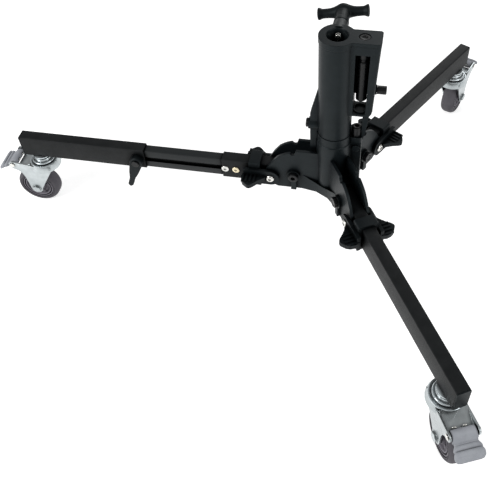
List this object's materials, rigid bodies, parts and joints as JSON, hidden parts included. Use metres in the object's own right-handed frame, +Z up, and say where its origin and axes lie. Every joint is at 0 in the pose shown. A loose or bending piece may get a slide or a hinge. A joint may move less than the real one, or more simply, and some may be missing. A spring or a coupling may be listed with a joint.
{
  "type": "folding roller stand base",
  "caption": "Folding wheeled stand base: a pin receiver column on a forked hub, levelling leg, fold-up legs with slide locks, braked swivel casters.",
  "frame": {"origin": "centre of the bounding box at floor level, under the wheels", "axes": "+Z up along the receiver column, -X towards the end of the long levelling leg, +Y towards the side of the T-handle"},
  "size_m": [0.8338, 0.8192, 0.4065],
  "materials": {
    "black_plastic": "moulded glass-filled nylon",
    "brass_tint": "yellow zinc plate",
    "bright_zinc": "bright zinc plate on pressed steel",
    "charcoal_tube": "fine-textured charcoal coat on steel tube",
    "core_grey": "grey moulded wheel core",
    "dark_rail": "smooth dark grey coat",
    "dark_steel": "black oxide",
    "pedal_grey": "mid grey moulded pedal",
    "satin_black_casting": "satin black powder coat on die-cast alloy",
    "tyre_grey": "non-marking grey tread, satin"
  },
  "bodies": {
    "hub": {"hub_casting": "satin_black_casting", "receiver_column": "satin_black_casting", "foot_screw": "dark_steel", "column_screw": "dark_steel", "leg_a_pivot_bolt": "dark_steel", "leg_a_pivot_nut": "dark_steel", "leg_b_pivot_bolt": "dark_steel", "leg_b_pivot_nut": "dark_steel", "leg_c_pivot_bolt": "dark_steel", "leg_c_pivot_nut": "dark_steel"},
    "clamp_screw": {"clamp_screw": "bright_zinc"},
    "t_handle": {"t_handle": "black_plastic"},
    "spigot": {"stowed_spigot": "bright_zinc"},
    "set_screw": {"spigot_set_screw": "dark_steel"},
    "leg_a": {"leg_a_sleeve": "charcoal_tube", "leg_a_rail": "dark_rail", "leg_a_rail_screw_outer": "bright_zinc", "leg_a_rail_screw_inner": "brass_tint"},
    "leg_a_outer": {"leg_a_outer_tube": "charcoal_tube", "leg_a_end_plug": "black_plastic", "leg_a_clamp_bolt": "dark_steel", "caster_a_top_race": "bright_zinc"},
    "clamp_lever": {"leg_a_clamp_lever": "black_plastic"},
    "leg_b": {"leg_b_tube": "charcoal_tube", "leg_b_end_plug": "black_plastic", "caster_b_top_race": "bright_zinc"},
    "leg_c": {"leg_c_tube": "charcoal_tube", "leg_c_end_plug": "black_plastic", "caster_c_top_race": "bright_zinc"},
    "lock_a": {"leg_a_lock_collar": "black_plastic", "leg_a_lock_pin": "dark_steel", "leg_a_lock_screw_left": "bright_zinc", "leg_a_lock_screw_right": "bright_zinc"},
    "fork_a": {"caster_a_fork": "bright_zinc", "caster_a_axle": "bright_zinc", "caster_a_pedal_pin": "bright_zinc"},
    "wheel_a": {"caster_a_tyre": "tyre_grey", "caster_a_wheel_core": "core_grey"},
    "pedal_a": {"caster_a_pedal": "pedal_grey"},
    "lock_b": {"leg_b_lock_collar": "black_plastic", "leg_b_lock_pin": "dark_steel", "leg_b_lock_screw_left": "bright_zinc", "leg_b_lock_screw_right": "bright_zinc"},
    "fork_b": {"caster_b_fork": "bright_zinc", "caster_b_axle": "bright_zinc", "caster_b_pedal_pin": "bright_zinc"},
    "wheel_b": {"caster_b_tyre": "tyre_grey", "caster_b_wheel_core": "core_grey"},
    "pedal_b": {"caster_b_pedal": "pedal_grey"},
    "lock_c": {"leg_c_lock_collar": "black_plastic", "leg_c_lock_pin": "dark_steel", "leg_c_lock_screw_left": "bright_zinc", "leg_c_lock_screw_right": "bright_zinc"},
    "fork_c": {"caster_c_fork": "bright_zinc", "caster_c_axle": "bright_zinc", "caster_c_pedal_pin": "bright_zinc"},
    "wheel_c": {"caster_c_tyre": "tyre_grey", "caster_c_wheel_core": "core_grey"},
    "pedal_c": {"caster_c_pedal": "pedal_grey"}
  },
  "joints": [
    {"name": "clamp_turn", "type": "hinge", "parent": "clamp_screw", "child": "t_handle", "pos_m": [0.17629, 0.04904, 0.38803], "axis": [-0.0172, 0.9864, -0.1633], "range_deg": [0, 1440]},
    {"name": "clamp_feed", "type": "slide", "parent": "hub", "child": "clamp_screw", "axis": [-0.0172, 0.9864, -0.1633], "range_m": [0, 0.006]},
    {"name": "spigot_lift", "type": "slide", "parent": "hub", "child": "spigot", "axis": [0, 0, 1], "range_m": [0, 0.09]},
    {"name": "set_screw_feed", "type": "slide", "parent": "hub", "child": "set_screw", "axis": [1, 0, 0], "range_m": [0, 0.003]},
    {"name": "leg_a_fold", "type": "hinge", "parent": "hub", "child": "leg_a", "pos_m": [0.11615, -0.00028, 0.144], "axis": [0, 1, 0], "range_deg": [0, 90]},
    {"name": "leg_a_lock", "type": "slide", "parent": "leg_a", "child": "lock_a", "axis": [-1, 0, 0], "range_m": [-0.0036, 0]},
    {"name": "leg_b_fold", "type": "hinge", "parent": "hub", "child": "leg_b", "pos_m": [0.20765, -0.0531, 0.144], "axis": [-0.866, -0.5, 0], "range_deg": [0, 90]},
    {"name": "leg_b_lock", "type": "slide", "parent": "leg_b", "child": "lock_b", "axis": [0.5, -0.866, 0], "range_m": [-0.0036, 0]},
    {"name": "leg_c_fold", "type": "hinge", "parent": "hub", "child": "leg_c", "pos_m": [0.20765, 0.05255, 0.144], "axis": [0.866, -0.5, 0], "range_deg": [0, 90]},
    {"name": "leg_c_lock", "type": "slide", "parent": "leg_c", "child": "lock_c", "axis": [0.5, 0.866, 0], "range_m": [-0.0036, 0]},
    {"name": "leg_a_extend", "type": "slide", "parent": "leg_a", "child": "leg_a_outer", "axis": [-1, 0, 0], "range_m": [-0.132, 0]},
    {"name": "clamp_lever_turn", "type": "hinge", "parent": "leg_a_outer", "child": "clamp_lever", "pos_m": [-0.15035, -0.01628, 0.135], "axis": [0, 1, 0], "range_deg": [0, 100]},
    {"name": "caster_a_swivel", "type": "hinge", "parent": "leg_a_outer", "child": "fork_a", "pos_m": [-0.33405, -0.00028, 0.1], "axis": [0, 0, 1], "continuous": true},
    {"name": "caster_a_wheel", "type": "hinge", "parent": "fork_a", "child": "wheel_a", "pos_m": [-0.35995, -0.00091, 0.0375], "axis": [0.0244, -0.9997, 0], "continuous": true},
    {"name": "caster_a_brake", "type": "hinge", "parent": "fork_a", "child": "pedal_a", "pos_m": [-0.38654, -0.00156, 0.0975], "axis": [0.0244, -0.9997, 0], "range_deg": [0, 18]},
    {"name": "caster_b_swivel", "type": "hinge", "parent": "leg_b", "child": "fork_b", "pos_m": [0.36675, -0.32867, 0.1], "axis": [0, 0, 1], "continuous": true},
    {"name": "caster_b_wheel", "type": "hinge", "parent": "fork_b", "child": "wheel_b", "pos_m": [0.37728, -0.35234, 0.0375], "axis": [0.9135, 0.4067, 0], "continuous": true},
    {"name": "caster_b_brake", "type": "hinge", "parent": "fork_b", "child": "pedal_b", "pos_m": [0.3881, -0.37664, 0.0975], "axis": [0.9135, 0.4067, 0], "range_deg": [0, 18]},
    {"name": "caster_c_swivel", "type": "hinge", "parent": "leg_c", "child": "fork_c", "pos_m": [0.36675, 0.32812, 0.1], "axis": [0, 0, 1], "continuous": true},
    {"name": "caster_c_wheel", "type": "hinge", "parent": "fork_c", "child": "wheel_c", "pos_m": [0.37645, 0.35213, 0.0375], "axis": [-0.9272, 0.3746, 0], "continuous": true},
    {"name": "caster_c_brake", "type": "hinge", "parent": "fork_c", "child": "pedal_c", "pos_m": [0.38641, 0.3768, 0.0975], "axis": [-0.9272, 0.3746, 0], "range_deg": [0, 18]}
  ],
  "couplings": [
    {"joint": "clamp_feed", "follows": "clamp_turn", "m_per_rad": 0.00023873}
  ]
}
